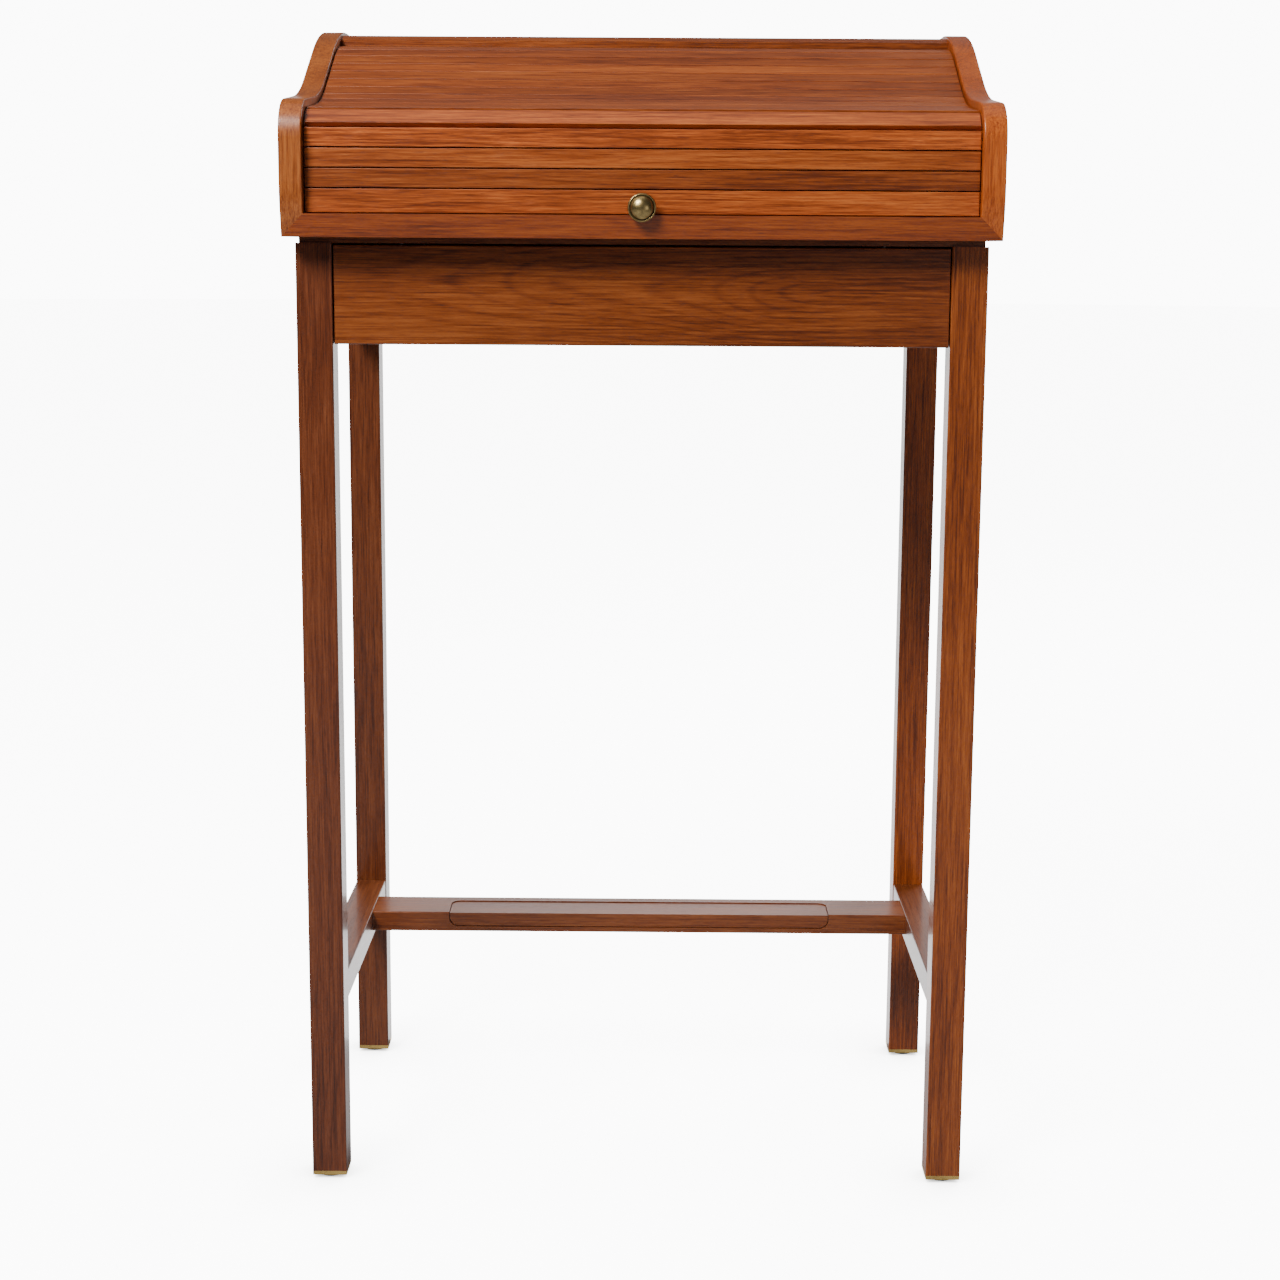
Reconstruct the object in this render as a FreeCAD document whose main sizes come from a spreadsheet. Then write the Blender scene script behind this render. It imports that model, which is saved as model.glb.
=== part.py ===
# Stand-up desk with a roll top of wooden slats, a drawer and a foot rail on a four-legged base.
# Millimetres. +X is the sitter's right, +Y runs from the front to the back, +Z is up.
# The origin is on the floor, at the centre of the whole desk's box.
import FreeCAD, Part
import math
import os

SIZES = {
    # Base: four square legs
    "leg_side": 38,
    "leg_top": 1034,
    "leg_edge": 1.2,
    "plate_height": 4.5,
    "glide_height": 4,
    "glide_radius": 14,
    "glide_edge": 1.2,
    "glide_stem_radius": 4,
    "glide_stem_length": 20,
    # Base: rails with tenons in the legs
    "apron_bottom": 929,
    "apron_thickness": 20,
    "apron_inset": 4,
    "tenon_length": 16,
    "tenon_thickness": 10,
    "tenon_shoulder": 8,
    "mortise_relief": 1,
    "stretcher_top": 230,
    "stretcher_height": 33,
    "stretcher_inset": 0.8,
    # Foot rail between the side stretchers, with its inlaid pad
    "footrest_setback": 256,
    "footrest_width": 63,
    "footrest_thickness": 24,
    "footrest_drop": 0.5,
    "pad_length": 461,
    "pad_depth": 47,
    "pad_thickness": 5,
    "pad_lip": 17,
    "pad_sink": 1,
    "pad_corner": 11,
    "pad_gap": 0.8,
    # Thin panel between the base and the case
    "sub_top_thickness": 6,
    "sub_top_inset": 3.5,
    "case_screw_radius": 2.5,
    "case_screw_head_radius": 4.5,
    "case_screw_head_height": 2,
    "case_screw_bite": 16,
    "case_screw_inset": 60,
    # Case: the boards
    "case_width": 743,
    "case_depth": 460,
    "front_overhang": 30,
    "rear_overhang": 6,
    "side_overhang": 9.5,
    "panel_thickness": 24,
    "board_thickness": 24,
    "panel_edge": 1.5,
    "back_thickness": 12,
    # Case: the outline of a side panel, from its lower front corner
    "nose_reach": 9,
    "nose_start": 40,
    "nose_sweep_radius": 150,
    "nose_radius": 40,
    "shelf_height": 138,
    "shelf_angle": 6,
    "hollow_radius": 211,
    "slope_setback": 129,
    "slope_angle": 28,
    "crest_radius": 240,
    "crest_height": 236,
    "rear_corner_radius": 5,
    # Case: the fixed roof board over the crest
    "roof_front": 290,
    "roof_thickness": 14,
    "roof_drop": 5.4,
    "roof_lip": 7,
    "roof_bevel": 28,
    # Roll top: slats and the track that they follow
    "slat_count": 19,
    "slat_pitch": 20.5,
    "lead_pitch": 25.5,
    "slat_gap": 1.2,
    "slat_thickness": 6,
    "slat_edge": 0.8,
    "slat_setback": 2,
    "slat_end_gap": 1.8,
    "tongue_gap": 0.4,
    "tongue_thickness": 3,
    "track_rim": 4.5,
    "shelf_rim": 8,
    "track_nose_radius": 18,
    "track_hollow_radius": 221,
    "track_crest_radius": 114,
    "track_rear_radius": 24,
    "track_clearance": 0.4,
    # Knob on the lead slat
    "knob_radius": 14.8,
    "knob_length": 22,
    "knob_base_radius": 6.6,
    "knob_stem_radius": 6,
    "knob_stem_length": 9,
    "knob_rim": 3,
    "knob_groove": 1.2,
    "knob_height": 7,
    "knob_screw_radius": 2,
    "knob_screw_bite": 9,
    "knob_screw_head_radius": 4,
    "knob_screw_head_height": 2,
    "screw_clearance": 0.05,
    # Drawer
    "drawer_gap": 1.5,
    "drawer_setback": 3,
    "drawer_front_thickness": 19,
    "drawer_top_gap": 2,
    "drawer_rear_gap": 17,
    "drawer_side_thickness": 12,
    "drawer_side_height": 78,
    "drawer_bottom_thickness": 6,
    "drawer_bottom_rise": 10,
    "drawer_groove": 5,
    "runner_height": 14,
    "runner_ledge": 14,
    "runner_guide": 26,
    "runner_clearance": 0.4,
    # One overrun for every cutting tool
    "overrun": 5,
}

doc = FreeCAD.newDocument("roll_top_desk")
sheet = doc.addObject("Spreadsheet::Sheet", "sizes")
nodes = []


def store(alias, value):
    """Writes one plain number to the sheet, under its own alias."""
    row = store.next_row
    sheet.set(f"A{row}", alias.replace("_", " "))
    sheet.set(f"B{row}", str(value))
    sheet.setAlias(f"B{row}", alias)
    store.values[alias] = value
    store.next_row = row + 1


store.next_row = 1
store.values = {}
for alias, value in SIZES.items():
    store(alias, value)


def size(alias):
    return store.values[alias]


def half(alias):
    return size(alias) / 2


# Levels and planes that several pieces share, worked out once from the driving sizes.
store("case_front", (size("knob_length") - size("slat_setback") - size("case_depth")) / 2)
store("case_back", size("case_front") + size("case_depth"))
store("case_bottom", size("leg_top") + size("sub_top_thickness"))
store("bed_top", size("case_bottom") + size("board_thickness"))
store("roof_top", size("case_bottom") + size("crest_height") - size("roof_drop"))
store("roof_bottom", size("roof_top") - size("roof_thickness"))
store("leg_foot", size("glide_height") + size("plate_height"))
store("leg_outer", half("case_width") - size("side_overhang"))
store("leg_inner", size("leg_outer") - size("leg_side"))
store("front_leg_face", size("case_front") + size("front_overhang"))
store("front_leg_back", size("front_leg_face") + size("leg_side"))
store("rear_leg_back", size("case_back") - size("rear_overhang"))
store("rear_leg_face", size("rear_leg_back") - size("leg_side"))
store("panel_outer", half("case_width"))
store("panel_inner", half("case_width") - size("panel_thickness"))
store("drawer_face", size("front_leg_face") + size("drawer_setback"))
store("rear_apron_back", size("rear_leg_back") - size("apron_inset"))
store("rear_apron_face", size("rear_apron_back") - size("apron_thickness"))
store("drawer_back", size("rear_apron_face") - size("drawer_rear_gap"))
store("drawer_outer", size("leg_inner") - size("drawer_gap"))
store("drawer_floor", size("apron_bottom") + size("runner_height") + size("runner_clearance"))
store("drawer_top", size("drawer_floor") + size("drawer_side_height"))
store("footrest_front", size("front_leg_face") + size("footrest_setback"))
store("footrest_top", size("stretcher_top") - size("footrest_drop"))
doc.recompute()


def bound(expression):
    """Turns a sum of aliases into an expression that reads the sheet."""
    for mark in "()+-*/":
        expression = expression.replace(mark, f" {mark} ")
    words = [f"sizes.{word}" if word in store.values else word for word in expression.split()]
    return " ".join(words)


def box(name, x_span, y_span, z_span):
    """A board whose three (low, high) spans are bound to the sheet."""
    board = doc.addObject("Part::Box", name)
    spans = (("Length", "x", x_span), ("Width", "y", y_span), ("Height", "z", z_span))
    for length, axis, (low, high) in spans:
        board.setExpression(length, bound(f"({high}) - ({low})"))
        board.setExpression(f"Placement.Base.{axis}", bound(low))
    doc.recompute()
    return board


def cylinder(name, radius, height, x, y, z, axis=FreeCAD.Vector(0, 0, 1)):
    """A round bar from a point along an axis, bound to the sheet."""
    bar = doc.addObject("Part::Cylinder", name)
    bar.setExpression("Radius", bound(radius))
    bar.setExpression("Height", bound(height))
    bar.Placement.Rotation = FreeCAD.Rotation(FreeCAD.Vector(0, 0, 1), axis)
    for letter, place in zip("xyz", (x, y, z)):
        bar.setExpression(f"Placement.Base.{letter}", bound(place))
    doc.recompute()
    return bar


def joined(name, pieces):
    union = doc.addObject("Part::MultiFuse", name)
    union.Shapes = pieces
    union.Refine = True
    doc.recompute()
    return union


def cut(name, base, tools):
    tool = tools[0] if len(tools) == 1 else joined(f"{name}_tools", tools)
    pocket = doc.addObject("Part::Cut", name)
    pocket.Base = base
    pocket.Tool = tool
    doc.recompute()
    return pocket


def edges_along(shape, axis, wanted=lambda middle: True):
    """The numbers of the straight edges along an axis whose middle point is wanted."""
    numbers = []
    for number, edge in enumerate(shape.Edges, start=1):
        start, end = edge.Vertexes[0].Point, edge.Vertexes[-1].Point
        run = end.sub(start)
        straight = isinstance(edge.Curve, Part.Line)
        if straight and run.Length and abs(run.dot(axis)) / run.Length > 0.999 and wanted((start + end) / 2):
            numbers.append(number)
    return numbers


def eased(name, base, axis, alias, wanted=lambda middle: True):
    """Rounds the straight edges along one axis."""
    rounded = doc.addObject("Part::Fillet", name)
    rounded.Base = base
    radius = size(alias)
    rounded.Edges = [(number, radius, radius) for number in edges_along(base.Shape, axis, wanted)]
    doc.recompute()
    return rounded


def node(name, finished):
    """Names a finished sub-part: the label is the name of its file."""
    finished.Label = name
    nodes.append((name, finished))
    return finished


def solid_node(name, shape):
    """A sub-part whose outline is worked out here from the sheet's sizes."""
    feature = doc.addObject("Part::Feature", f"{name}_solid")
    feature.Shape = shape
    return node(name, feature)


X_AXIS = FreeCAD.Vector(1, 0, 0)
Y_AXIS = FreeCAD.Vector(0, 1, 0)
Z_AXIS = FreeCAD.Vector(0, 0, 1)
SIDES = {"left": -1, "right": 1}
# The most of a straight run that its two arcs may take up.
ARC_SHARE = 0.98


def on_side(side, low, high):
    """The span of a piece on the right, or its mirror image on the left."""
    return (low, high) if side == "right" else (f"-({high})", f"-({low})")


class Track:
    """A line of straight runs joined by tangent arcs, in the plane of Y and Z."""

    def __init__(self, corners, radii):
        points = [FreeCAD.Vector(0, y, z) for y, z in corners]
        ways = [(end - start).normalize() for start, end in zip(points, points[1:])]
        runs = [start.distanceToPoint(end) for start, end in zip(points, points[1:])]
        turns = [math.atan2(into.y * out.z - into.z * out.y, into.dot(out))
                 for into, out in zip(ways, ways[1:])]
        # An arc reaches along both of its runs. Two arcs on a run too short for both have to share it.
        reaches = [radius * math.tan(abs(turn) / 2) for radius, turn in zip(radii, turns)]
        ends = [0] + reaches + [0]
        room = [min(1, ARC_SHARE * run / (low + high)) for run, low, high in zip(runs, ends, ends[1:])]
        self.pieces = []
        start = points[0]
        for number, (corner, radius, turn) in enumerate(zip(points[1:], radii, turns)):
            part_left = min(room[number:number + 2])
            reach = reaches[number] * part_left
            arc_start = corner - ways[number] * reach
            self.pieces.append(("run", start, arc_start, 0))
            start = corner + ways[number + 1] * reach
            self.pieces.append(("arc", arc_start, start, math.copysign(radius * part_left, turn)))
        self.pieces.append(("run", start, points[-1], 0))

    def length_of(self, piece):
        kind, start, end, radius = piece
        chord = start.distanceToPoint(end)
        return chord if kind == "run" else 2 * abs(radius) * math.asin(chord / (2 * abs(radius)))

    def length(self):
        return sum(self.length_of(piece) for piece in self.pieces)

    def point(self, travel):
        """The point that lies so far along the line."""
        for piece in self.pieces:
            kind, start, end, radius = piece
            stretch = self.length_of(piece)
            if travel <= stretch or piece is self.pieces[-1]:
                break
            travel -= stretch
        along = (end - start).normalize()
        if kind == "run":
            return start + along * travel
        # A chord of the arc leaves its start turned by half the angle that it spans.
        lag = (travel - stretch) / (2 * radius)
        chord = 2 * abs(radius) * math.sin(travel / (2 * abs(radius)))
        way = FreeCAD.Rotation(X_AXIS, math.degrees(lag)).multVec(along)
        return start + way * chord

    def step(self, travel, chord):
        """How far along the line the next point lies that is one chord away."""
        here = self.point(travel)
        low, high = travel, travel + 2 * chord
        for _ in range(60):
            middle = (low + high) / 2
            if self.point(middle).distanceToPoint(here) < chord:
                low = middle
            else:
                high = middle
        return high

    def edges(self):
        """The line as straight and round edges."""
        made = []
        for kind, start, end, radius in self.pieces:
            if kind == "run":
                made.append(Part.LineSegment(start, end).toShape())
                continue
            turn = self.length_of((kind, start, end, radius)) / radius
            chord = 2 * abs(radius) * math.sin(abs(turn) / 4)
            along = (end - start).normalize()
            way = FreeCAD.Rotation(X_AXIS, math.degrees(-turn / 4)).multVec(along)
            made.append(Part.Arc(start, start + way * chord, end).toShape())
        return made


def crossing(first, first_angle, second, second_angle):
    """The corner where two slanting lines meet, each through a (y, z) point."""
    (y1, z1), (y2, z2) = first, second
    rise1, rise2 = math.tan(math.radians(first_angle)), math.tan(math.radians(second_angle))
    y = (z2 - z1 + rise1 * y1 - rise2 * y2) / (rise1 - rise2)
    return y, z1 + rise1 * (y - y1)


# Base: legs, aprons, stretchers

RAILS = {}


def rail(name, x_span, y_span, z_span, along):
    """A rail with one tenon bar through it, and the mortise bar that its legs are cut with."""
    spans = {"x": x_span, "y": y_span, "z": z_span}
    tenon, mortise = {}, {}
    for axis, (low, high) in spans.items():
        if axis == along:
            tenon[axis] = (f"{low} - tenon_length", f"{high} + tenon_length")
            mortise[axis] = tuple(f"{end} {sign} mortise_relief" for end, sign in zip(tenon[axis], "-+"))
            continue
        if axis == "z":
            tenon[axis] = (f"{low} + tenon_shoulder", f"{high} - tenon_shoulder")
        else:
            tenon[axis] = tuple(f"({low} + {high} {sign} tenon_thickness) / 2" for sign in "-+")
        mortise[axis] = tenon[axis]
    board = box(f"{name}_board", *spans.values())
    axis = X_AXIS if along == "x" else Y_AXIS
    board = eased(f"{name}_eased", board, axis, "leg_edge")
    bar = box(f"{name}_tenons", *tenon.values())
    RAILS[name] = lambda leg: box(f"{name}_mortise_{leg}", *mortise.values())
    node(name, joined(f"{name}_rail", [board, bar]))


def make_rails():
    apron_levels = ("apron_bottom", "leg_top")
    stretcher_levels = ("stretcher_top - stretcher_height", "stretcher_top")
    between_legs = ("front_leg_back", "rear_leg_face")
    for side in SIDES:
        across = on_side(side, "leg_outer - apron_inset - apron_thickness", "leg_outer - apron_inset")
        rail(f"side_apron_{side}", across, between_legs, apron_levels, "y")
        across = on_side(side, "leg_inner + stretcher_inset", "leg_outer - stretcher_inset")
        rail(f"side_stretcher_{side}", across, between_legs, stretcher_levels, "y")
    depth = ("rear_apron_face", "rear_apron_back")
    rail("rear_apron", ("-leg_inner", "leg_inner"), depth, apron_levels, "x")


def make_leg(side, end):
    name = f"leg_{end}_{side}"
    across = on_side(side, "leg_inner", "leg_outer")
    post = box(f"{name}_post", across, (f"{end}_leg_face", f"{end}_leg_back"), ("leg_foot", "leg_top"))
    post = eased(f"{name}_eased", post, Z_AXIS, "leg_edge")
    tools = [RAILS[f"side_apron_{side}"](name), RAILS[f"side_stretcher_{side}"](name)]
    if end == "rear":
        tools.append(RAILS["rear_apron"](name))
    sign = "" if side == "right" else "-"
    centre_x = f"{sign}(leg_inner + leg_outer) / 2"
    centre_y = f"({end}_leg_face + {end}_leg_back) / 2"
    hole = ("glide_stem_radius + screw_clearance", "glide_stem_length + overrun", centre_x, centre_y, "0")
    tools.append(cylinder(f"{name}_hole", *hole))
    node(name, cut(f"{name}_cut", post, tools))

    levels = ("glide_height", "leg_foot")
    plate = box(f"{name}_plate", across, (f"{end}_leg_face", f"{end}_leg_back"), levels)
    plate = eased(f"{name}_plate_eased", plate, Z_AXIS, "leg_edge")
    plate_hole = cylinder(f"{name}_plate_hole", *hole)
    node(f"foot_plate_{end}_{side}", cut(f"{name}_plate_cut", plate, [plate_hole]))

    puck = cylinder(f"{name}_puck", "glide_radius", "glide_height", centre_x, centre_y, "0")
    rounded = doc.addObject("Part::Fillet", f"{name}_puck_eased")
    rounded.Base = puck
    rim = [number for number, edge in enumerate(puck.Shape.Edges, start=1)
           if isinstance(edge.Curve, Part.Circle) and edge.Curve.Center.z < half("glide_height")]
    rounded.Edges = [(number, size("glide_edge"), size("glide_edge")) for number in rim]
    doc.recompute()
    stem_place = (centre_x, centre_y, "glide_edge")
    stem = cylinder(f"{name}_stem", "glide_stem_radius", "glide_stem_length", *stem_place)
    node(f"glide_{end}_{side}", joined(f"{name}_glide", [rounded, stem]))


def make_footrest():
    across = ("-leg_inner - stretcher_inset", "leg_inner + stretcher_inset")
    depth = ("footrest_front", "footrest_front + footrest_width")
    bar = box("footrest_bar", across, depth, ("footrest_top - footrest_thickness", "footrest_top"))
    bar = eased("footrest_eased", bar, X_AXIS, "leg_edge")

    def pad_shape(name, gap, reach, rise):
        """The pad's top leaf and front lip: grown by the gap, run out past the bar for the recess."""
        span = (f"-pad_length / 2 - {gap}", f"pad_length / 2 + {gap}")
        floor = "footrest_top - pad_sink - pad_thickness"
        leaf_depth = (f"footrest_front + pad_sink - {reach}", f"footrest_front + pad_depth + {gap}")
        leaf = box(f"{name}_leaf", span, leaf_depth, (floor, f"footrest_top - pad_sink + {rise}"))
        back = size("footrest_front") + size("pad_depth") - size("pad_corner")
        leaf = eased(f"{name}_leaf_eased", leaf, Z_AXIS, "pad_corner", lambda middle: middle.y > back)
        lip_depth = (f"footrest_front + pad_sink - {reach}", "footrest_front + pad_sink + pad_thickness")
        lip_levels = (f"footrest_top - pad_lip - {gap}", f"footrest_top - pad_sink + {rise}")
        lip = box(f"{name}_lip", span, lip_depth, lip_levels)
        low = size("footrest_top") - half("pad_lip")
        lip = eased(f"{name}_lip_eased", lip, Y_AXIS, "pad_corner", lambda middle: middle.z < low)
        return joined(name, [leaf, lip])

    recess = pad_shape("pad_recess", "pad_gap", "overrun", "overrun")
    node("footrest", cut("footrest_cut", bar, [recess]))
    node("foot_pad", pad_shape("foot_pad_shape", "0", "0", "0"))


# Base to case: the panel over the drawer and the screws up into the case

def make_sub_top():
    edge = "leg_outer - sub_top_inset"
    depth = ("front_leg_face + sub_top_inset", "rear_leg_back - sub_top_inset")
    panel = box("sub_top_panel", (f"-({edge})", edge), depth, ("leg_top", "case_bottom"))
    screws, holes, pilots = [], [], []
    places = {"front": "front_leg_back + case_screw_inset", "rear": "rear_leg_face - case_screw_inset"}
    for side in SIDES:
        sign = "" if side == "right" else "-"
        x = f"{sign}(drawer_outer - case_screw_inset)"
        for end, y in places.items():
            name = f"case_screw_{end}_{side}"
            reach = "sub_top_thickness + case_screw_bite"
            head_base = "leg_top - case_screw_head_height"
            shank = cylinder(f"{name}_shank", "case_screw_radius", reach, x, y, "leg_top")
            head_sizes = ("case_screw_head_radius", "case_screw_head_height")
            head = cylinder(f"{name}_head", *head_sizes, x, y, head_base)
            screws.append(joined(name, [shank, head]))
            hole = "case_screw_radius + screw_clearance"
            holes.append(cylinder(f"{name}_hole", hole, f"{reach} + overrun", x, y, "leg_top - overrun"))
            pilots.append(cylinder(f"{name}_pilot", hole, f"{reach} + screw_clearance", x, y, "leg_top"))
    node("sub_top", cut("sub_top_cut", panel, holes))
    group = doc.addObject("Part::Compound", "case_screws_group")
    group.Links = screws
    doc.recompute()
    node("case_screws", group)
    return pilots


# Case: side panels, bed, back and roof

def shelf_level(setback):
    """The height of the side panels' shelf, so far behind the front of the case."""
    rise = math.tan(math.radians(size("shelf_angle")))
    return size("case_bottom") + size("shelf_height") + setback * rise


def panel_outline():
    """The outline of a side panel, over the nose, the hollow and the crest."""
    front, low = size("case_front"), size("case_bottom")
    nose = front - size("nose_reach")
    nose_corner = (nose, shelf_level(-size("nose_reach")))
    hollow_corner = (front + size("slope_setback"), shelf_level(size("slope_setback")))
    crest = low + size("crest_height")
    rise = math.tan(math.radians(size("slope_angle")))
    crest_corner = (hollow_corner[0] + (crest - hollow_corner[1]) / rise, crest)
    corners = [(front, low), (nose, low + size("nose_start")), nose_corner, hollow_corner, crest_corner,
               (size("case_back"), crest), (size("case_back"), low)]
    radii = [size("nose_sweep_radius"), size("nose_radius"), size("hollow_radius"), size("crest_radius"),
             size("rear_corner_radius")]
    return Track(corners, radii)


def board_front():
    """How far the bed's front edge leans forward at its top, in line with the side panels."""
    return size("nose_reach") * size("board_thickness") / size("nose_start")


def prism(points, run):
    """A straight solid from a flat outline of points."""
    return Part.Face(Part.makePolygon(points + points[:1])).extrude(run)


def mitre_wedge(side, above):
    """The half of the corner square between panel and bed that one of the two gives up."""
    low, high = size("case_bottom"), size("bed_top")
    inner, outer = SIDES[side] * size("panel_inner"), SIDES[side] * size("panel_outer")
    start = size("case_front") - size("nose_reach") - size("overrun")
    corner = (outer, high) if above else (inner, low)
    points = [FreeCAD.Vector(x, start, z) for x, z in ((inner, high), corner, (outer, low))]
    return prism(points, Y_AXIS * (size("case_depth") + size("nose_reach") + 2 * size("overrun")))


def make_side_panel(side):
    outline = panel_outline()
    front, back, low = size("case_front"), size("case_back"), size("case_bottom")
    foot = Part.LineSegment(FreeCAD.Vector(0, back, low), FreeCAD.Vector(0, front, low)).toShape()
    face = Part.Face(Part.Wire(outline.edges() + [foot]))
    slab = face.extrude(X_AXIS * size("panel_thickness"))
    near = size("panel_inner") if side == "right" else -size("panel_outer")
    rim = [edge for edge in slab.Edges if edge.CenterOfMass.z > low + size("overrun")
           and abs(edge.tangentAt(edge.FirstParameter).x) < 0.5]
    slab = slab.makeFillet(size("panel_edge"), rim)
    slab.translate(X_AXIS * near)
    solid_node(f"side_panel_{side}", slab.cut(mitre_wedge(side, above=False)))


def make_bed(pilots):
    front, back, low, high = size("case_front"), size("case_back"), size("case_bottom"), size("bed_top")
    places = ((front, low), (front - board_front(), high), (back, high), (back, low))
    points = [FreeCAD.Vector(-size("panel_outer"), y, z) for y, z in places]
    bed = prism(points, X_AXIS * size("case_width"))
    for side in SIDES:
        bed = bed.cut(mitre_wedge(side, above=True))
    for pilot in pilots:
        bed = bed.cut(pilot.Shape)
    solid_node("bed", bed)


def make_back():
    across = ("-panel_inner", "panel_inner")
    depth = ("case_back - back_thickness", "case_back")
    node("back_panel", box("back_board", across, depth, ("bed_top", "roof_bottom")))


def make_roof():
    front, back = size("case_front") + size("roof_front"), size("case_back")
    low, high = size("roof_bottom"), size("roof_top")
    lip, bevel = low + size("roof_lip"), size("roof_bevel")
    fall = high - lip
    radius = (bevel ** 2 + fall ** 2) / (2 * fall)
    half_turn = math.asin(bevel / radius) / 2
    x = -size("panel_inner")
    places = ((front + bevel, high), (back, high), (back, low), (front, low), (front, lip))
    corners = [FreeCAD.Vector(x, y, z) for y, z in places]
    crown_y = front + bevel - radius * math.sin(half_turn)
    crown_z = high - radius * (1 - math.cos(half_turn))
    runs = [Part.LineSegment(a, b).toShape() for a, b in zip(corners, corners[1:])]
    runs.append(Part.Arc(corners[-1], FreeCAD.Vector(x, crown_y, crown_z), corners[0]).toShape())
    solid_node("roof_board", Part.Face(Part.Wire(runs)).extrude(X_AXIS * 2 * size("panel_inner")))


# Roll top: a lead slat with its knob, and the slats that follow it along the track

def slat_track():
    """The line that the backs of the slats follow, up the front, over the nose and down the back."""
    front, thick = size("case_front"), size("slat_thickness")
    inward = size("track_rim") + thick
    face = front + size("slat_setback") + thick
    shelf_angle, slope_angle = size("shelf_angle"), size("slope_angle")
    sunk = (size("shelf_rim") + thick) / math.cos(math.radians(shelf_angle))
    shelf = (front, shelf_level(0) - sunk)
    hollow = shelf_level(size("slope_setback"))
    slope = (front + size("slope_setback"), hollow - inward / math.cos(math.radians(slope_angle)))
    flat = size("roof_bottom") - size("track_clearance") - thick
    rear = size("case_back") - size("back_thickness") - size("track_rim") - thick
    nose_corner = (face, shelf[1] + (face - front) * math.tan(math.radians(shelf_angle)))
    crest_corner = (slope[0] + (flat - slope[1]) / math.tan(math.radians(slope_angle)), flat)
    corners = [(face, size("bed_top") + size("track_clearance")), nose_corner,
               crossing(shelf, shelf_angle, slope, slope_angle), crest_corner,
               (rear, flat), (rear, size("bed_top") + size("track_clearance"))]
    radii = [size("track_nose_radius"), size("track_hollow_radius"), size("track_crest_radius"),
             size("track_rear_radius")]
    return Track(corners, radii)


def slat_places(track, travel=0.0):
    """The places along the track of the slats' edges, from the lead slat's foot, after some travel."""
    places = [travel, track.step(travel, size("lead_pitch"))]
    for _ in range(size("slat_count")):
        places.append(track.step(places[-1], size("slat_pitch")))
    return places


def slat_placement(track, start, end):
    """A slat lies along the chord between its two edges, with its face outwards."""
    low, high = track.point(start), track.point(end)
    angle = math.degrees(math.atan2(high.z - low.z, high.y - low.y))
    return FreeCAD.Placement(low, FreeCAD.Rotation(X_AXIS, angle))


def make_slat(name, pitch, placement, tools=()):
    """One slat, modelled flat: its back on Z zero, its length along X, its foot at Y zero."""
    width = ("slat_gap / 2", f"{pitch} - slat_gap / 2")
    end = "panel_inner - slat_end_gap"
    plank = box(f"{name}_plank", (f"-({end})", end), width, ("0", "slat_thickness"))
    face = half("slat_thickness")
    plank = eased(f"{name}_eased", plank, X_AXIS, "slat_edge", lambda middle: middle.z > face)
    end = "panel_inner - tongue_gap"
    tongue = box(f"{name}_tongue", (f"-({end})", end), width, ("0", "tongue_thickness"))
    slat = joined(f"{name}_slat", [plank, tongue])
    if tools:
        slat = cut(f"{name}_cut", slat, list(tools))
    slat.Placement = placement
    return node(name, slat)


def make_roll_top():
    track = slat_track()
    places = slat_places(track)
    hole = cylinder("knob_hole", "knob_screw_radius + screw_clearance", "slat_thickness + 2 * overrun",
                    "0", "knob_height", "-overrun")
    make_slat("lead_slat", "lead_pitch", slat_placement(track, places[0], places[1]), [hole])
    for number, (start, end) in enumerate(zip(places[1:], places[2:]), start=1):
        make_slat(f"slat_{number:02d}", "slat_pitch", slat_placement(track, start, end))


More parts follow.
